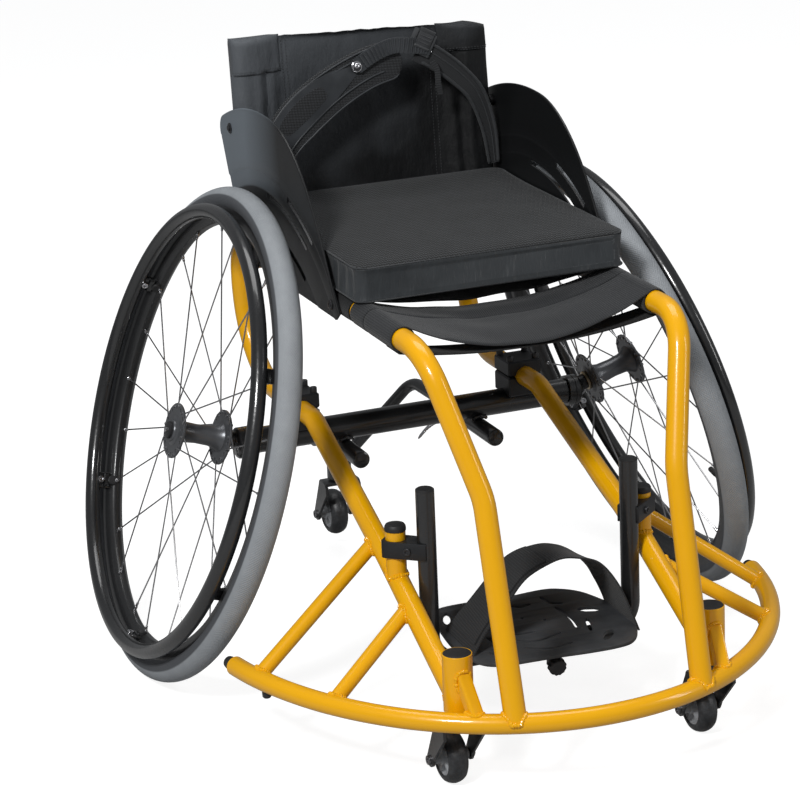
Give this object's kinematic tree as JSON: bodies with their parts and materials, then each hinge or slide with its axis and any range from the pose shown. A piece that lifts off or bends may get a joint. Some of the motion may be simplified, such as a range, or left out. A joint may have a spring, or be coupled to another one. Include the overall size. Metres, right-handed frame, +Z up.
{
  "type": "basketball wheelchair",
  "caption": "Rigid sports wheelchair with cambered wheels, wrap-around front bumper, footplate, front casters and a centre anti-tip caster.",
  "frame": {"origin": "on the floor, in the middle of the chair's width and length", "axes": "+Z up, the chair faces -Y, +X is to the right in the front view"},
  "size_m": [0.8024, 0.9406, 0.7483],
  "materials": {
    "yellow_paint": "gloss",
    "black_paint": "gloss",
    "satin_black_plastic": "satin",
    "black_plug": "matte",
    "grey_rubber": "matte",
    "caster_rubber": "satin",
    "steel": "polished",
    "black_cloth": "woven",
    "mesh_cloth": "mesh",
    "webbing": "woven"
  },
  "bodies": {
    "frame": {"rail_left": "yellow_paint", "lower_frame_left": "yellow_paint", "strut_front_left": "yellow_paint", "strut_rear_left": "yellow_paint", "housing_cap_left": "black_plug", "post_cap_left": "black_plug", "bumper_tip_left": "black_plug", "clamp_upper_left": "satin_black_plastic", "clamp_lower_left": "satin_black_plastic", "side_guard_left": "satin_black_plastic", "axle_left": "black_paint", "back_cane_left": "black_paint", "footrest_clamp_left": "black_paint", "rail_right": "yellow_paint", "lower_frame_right": "yellow_paint", "strut_front_right": "yellow_paint", "strut_rear_right": "yellow_paint", "housing_cap_right": "black_plug", "post_cap_right": "black_plug", "bumper_tip_right": "black_plug", "clamp_upper_right": "satin_black_plastic", "clamp_lower_right": "satin_black_plastic", "side_guard_right": "satin_black_plastic", "axle_right": "black_paint", "back_cane_right": "black_paint", "footrest_clamp_right": "black_paint", "bumper": "yellow_paint", "camber_tube": "black_paint", "ratchet_buckle": "satin_black_plastic", "sling_front": "webbing", "sling_main": "webbing", "lap_strap_right": "webbing", "back_canvas": "black_cloth", "cushion": "mesh_cloth", "lap_pad_left": "mesh_cloth"},
    "wheel_left": {"tyre_left": "grey_rubber", "rim_left": "black_paint", "hub_left": "black_paint", "hand_rim_left": "black_paint"},
    "axle_button_left": {"axle_button_left": "steel"},
    "caster_fork_left": {"caster_fork_left": "black_paint"},
    "caster_wheel_left": {"caster_wheel_left": "caster_rubber"},
    "antitip_lever_left": {"antitip_lever_left": "steel"},
    "wheel_right": {"tyre_right": "grey_rubber", "rim_right": "black_paint", "hub_right": "black_paint", "hand_rim_right": "black_paint"},
    "axle_button_right": {"axle_button_right": "steel"},
    "caster_fork_right": {"caster_fork_right": "black_paint"},
    "caster_wheel_right": {"caster_wheel_right": "caster_rubber"},
    "antitip_lever_right": {"antitip_lever_right": "steel"},
    "antitip_arm": {"antitip_arm": "black_paint"},
    "antitip_fork": {"antitip_fork": "black_paint"},
    "antitip_wheel": {"caster_wheel_rear": "caster_rubber"},
    "footrest": {"footrest_tube": "black_paint"},
    "footplate": {"footplate": "satin_black_plastic", "footplate_bracket": "satin_black_plastic", "foot_strap": "webbing"},
    "footplate_knob": {"footplate_knob": "black_plug"},
    "ratchet_lever": {"ratchet_lever": "satin_black_plastic"}
  },
  "joints": [
    {"name": "wheel_spin_left", "type": "hinge", "parent": "frame", "child": "wheel_left", "pos_m": [-0.2852, 0.13825, 0.29237], "axis": [-0.9563, 0, 0.2924], "continuous": true},
    {"name": "axle_button_push_left", "type": "slide", "parent": "frame", "child": "axle_button_left", "axis": [0.9563, 0, -0.2924], "range_m": [0, 0.002], "stiffness_N_per_m": 800},
    {"name": "caster_swivel_left", "type": "hinge", "parent": "frame", "child": "caster_fork_left", "pos_m": [-0.1555, -0.37475, 0.13], "axis": [0, 0, 1], "continuous": true},
    {"name": "caster_spin_left", "type": "hinge", "parent": "caster_fork_left", "child": "caster_wheel_left", "pos_m": [-0.1555, -0.34475, 0.031], "axis": [1, 0, 0], "continuous": true},
    {"name": "antitip_lever_hinge_left", "type": "hinge", "parent": "frame", "child": "antitip_lever_left", "pos_m": [-0.09, 0.25025, 0.21841], "axis": [0, 1, 0], "range_deg": [0, 100]},
    {"name": "wheel_spin_right", "type": "hinge", "parent": "frame", "child": "wheel_right", "pos_m": [0.2852, 0.13825, 0.29237], "axis": [0.9563, 0, 0.2924], "continuous": true},
    {"name": "axle_button_push_right", "type": "slide", "parent": "frame", "child": "axle_button_right", "axis": [-0.9563, 0, -0.2924], "range_m": [0, 0.002], "stiffness_N_per_m": 800},
    {"name": "caster_swivel_right", "type": "hinge", "parent": "frame", "child": "caster_fork_right", "pos_m": [0.1555, -0.37475, 0.13], "axis": [0, 0, 1], "continuous": true},
    {"name": "caster_spin_right", "type": "hinge", "parent": "caster_fork_right", "child": "caster_wheel_right", "pos_m": [0.1555, -0.34475, 0.031], "axis": [1, 0, 0], "continuous": true},
    {"name": "antitip_lever_hinge_right", "type": "hinge", "parent": "frame", "child": "antitip_lever_right", "pos_m": [0.09, 0.25025, 0.21841], "axis": [0, -1, 0], "range_deg": [0, 100]},
    {"name": "antitip_slide", "type": "slide", "parent": "frame", "child": "antitip_arm", "axis": [0, 1, 0], "range_m": [0, 0.05]},
    {"name": "antitip_swivel", "type": "hinge", "parent": "antitip_arm", "child": "antitip_fork", "pos_m": [0, 0.41025, 0.13], "axis": [0, 0, 1], "continuous": true},
    {"name": "antitip_spin", "type": "hinge", "parent": "antitip_fork", "child": "antitip_wheel", "pos_m": [0, 0.43925, 0.048], "axis": [1, 0, 0], "continuous": true},
    {"name": "footrest_height", "type": "slide", "parent": "frame", "child": "footrest", "axis": [0, 0, 1], "range_m": [-0.05, 0.05]},
    {"name": "footplate_tilt", "type": "hinge", "parent": "footrest", "child": "footplate", "pos_m": [0, -0.22625, 0.092], "axis": [1, 0, 0], "range_deg": [-10, 12]},
    {"name": "footplate_knob_turn", "type": "hinge", "parent": "footplate", "child": "footplate_knob", "pos_m": [0, -0.29411, 0.09108], "axis": [0, -0.9932, -0.1167], "range_deg": [0, 360]},
    {"name": "ratchet_lever_hinge", "type": "hinge", "parent": "frame", "child": "ratchet_lever", "pos_m": [0.06542, 0.21675, 0.71914], "axis": [0.8829, 0, -0.4695], "range_deg": [0, 80]}
  ]
}
